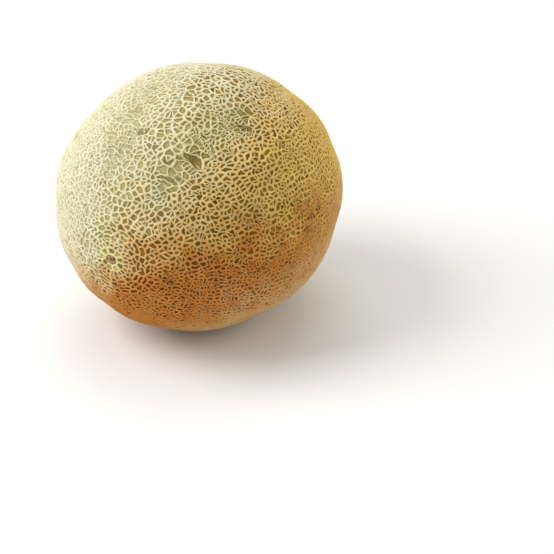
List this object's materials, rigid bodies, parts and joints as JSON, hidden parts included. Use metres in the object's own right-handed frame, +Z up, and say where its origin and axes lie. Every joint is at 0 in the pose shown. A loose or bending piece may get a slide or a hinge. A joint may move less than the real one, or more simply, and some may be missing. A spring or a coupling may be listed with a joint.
{
  "type": "cantaloupe",
  "caption": "Whole netted cantaloupe lying on its side: oval, slightly ribbed fruit with a raised corky net, a blossom button at one end and a stem scar at the other.",
  "frame": {"origin": "middle of the small flat ground spot that the fruit rests on, on the surface it lies on", "axes": "+Z up; Y is the fruit's own axis, with the blossom end at -Y and the stem end at +Y; X runs across the fruit"},
  "size_m": [0.1472, 0.1567, 0.1365],
  "materials": {
    "rind": "matte cream-tan corky net over sunken grey-green skin, paler on the shaded side of the fruit"
  },
  "bodies": {
    "root": {"cantaloupe": "rind"}
  },
  "joints": []
}
